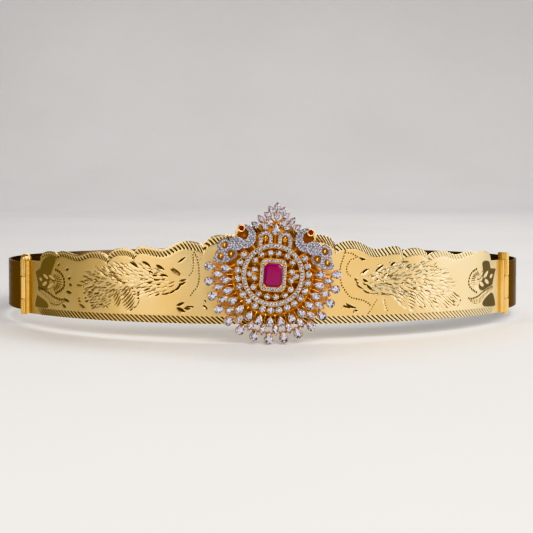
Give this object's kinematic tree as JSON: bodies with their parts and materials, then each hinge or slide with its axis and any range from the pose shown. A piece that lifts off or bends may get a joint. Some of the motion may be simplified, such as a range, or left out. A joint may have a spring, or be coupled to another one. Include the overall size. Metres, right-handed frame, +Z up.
{
  "type": "waist belt",
  "caption": "Rigid hinged waist belt: an engraved, scalloped front plate with a stone-set pendant, two plain straps and a clasp at the back.",
  "frame": {"origin": "centre of the bounding box's bottom, on the table that the belt lies on", "axes": "-Y is the front with the pendant, +Y the clasp, +X the wearer's left, +Z up; the loop's axis leans 1.7 degrees from +Z"},
  "size_m": [0.228, 0.2386, 0.0536],
  "materials": {
    "engraved_gold": "gilded, bright-cut engraving",
    "hinge_gold": "gilded, polished",
    "strap_gold": "gilded, mirror polished",
    "cast_gold": "gilded casting, polished rims",
    "ruby": "faceted, step cut",
    "dark_red_stone": "faceted",
    "white_stone": "faceted, clear"
  },
  "bodies": {
    "front": {"front_plate": "engraved_gold", "left_hinge_pin": "hinge_gold", "right_hinge_pin": "hinge_gold", "pendant_frame": "cast_gold", "ruby": "ruby", "left_eye_stone": "dark_red_stone", "right_eye_stone": "dark_red_stone", "halo_stones": "white_stone", "ring_stones": "white_stone", "inner_stones": "white_stone", "round_stones": "white_stone", "pear_stones": "white_stone", "marquise_stones": "white_stone", "left_arch_stones": "white_stone", "right_arch_stones": "white_stone", "drop_stone_1": "white_stone", "drop_stone_2": "white_stone", "drop_stone_3": "white_stone", "drop_stone_4": "white_stone", "drop_stone_5": "white_stone", "drop_stone_6": "white_stone", "drop_stone_7": "white_stone", "drop_stone_8": "white_stone", "drop_stone_9": "white_stone", "drop_stone_10": "white_stone", "drop_stone_11": "white_stone", "drop_stone_12": "white_stone", "drop_stone_13": "white_stone", "drop_stone_14": "white_stone", "drop_stone_15": "white_stone", "crown_stone_1": "white_stone", "crown_stone_2": "white_stone", "crown_stone_3": "white_stone", "crown_stone_4": "white_stone", "crown_stone_5": "white_stone", "crown_stone_6": "white_stone", "crown_stone_7": "white_stone", "crown_stone_8": "white_stone", "crown_stone_9": "white_stone", "crown_stone_10": "white_stone", "crown_stone_11": "white_stone", "crown_stone_12": "white_stone", "crown_stone_13": "white_stone", "crown_stone_14": "white_stone", "crown_stone_15": "white_stone"},
    "left_strap": {"left_strap": "strap_gold", "back_clasp": "hinge_gold"},
    "right_strap": {"right_strap": "strap_gold"}
  },
  "joints": [
    {"name": "left_hinge", "type": "hinge", "parent": "front", "child": "left_strap", "pos_m": [-0.10079, -0.05132, 0.01559], "axis": [0, 0.0299, 0.9996], "range_deg": [0, 85]},
    {"name": "right_hinge", "type": "hinge", "parent": "front", "child": "right_strap", "pos_m": [0.10079, -0.05132, 0.01559], "axis": [0, -0.0299, -0.9996], "range_deg": [0, 85]}
  ]
}
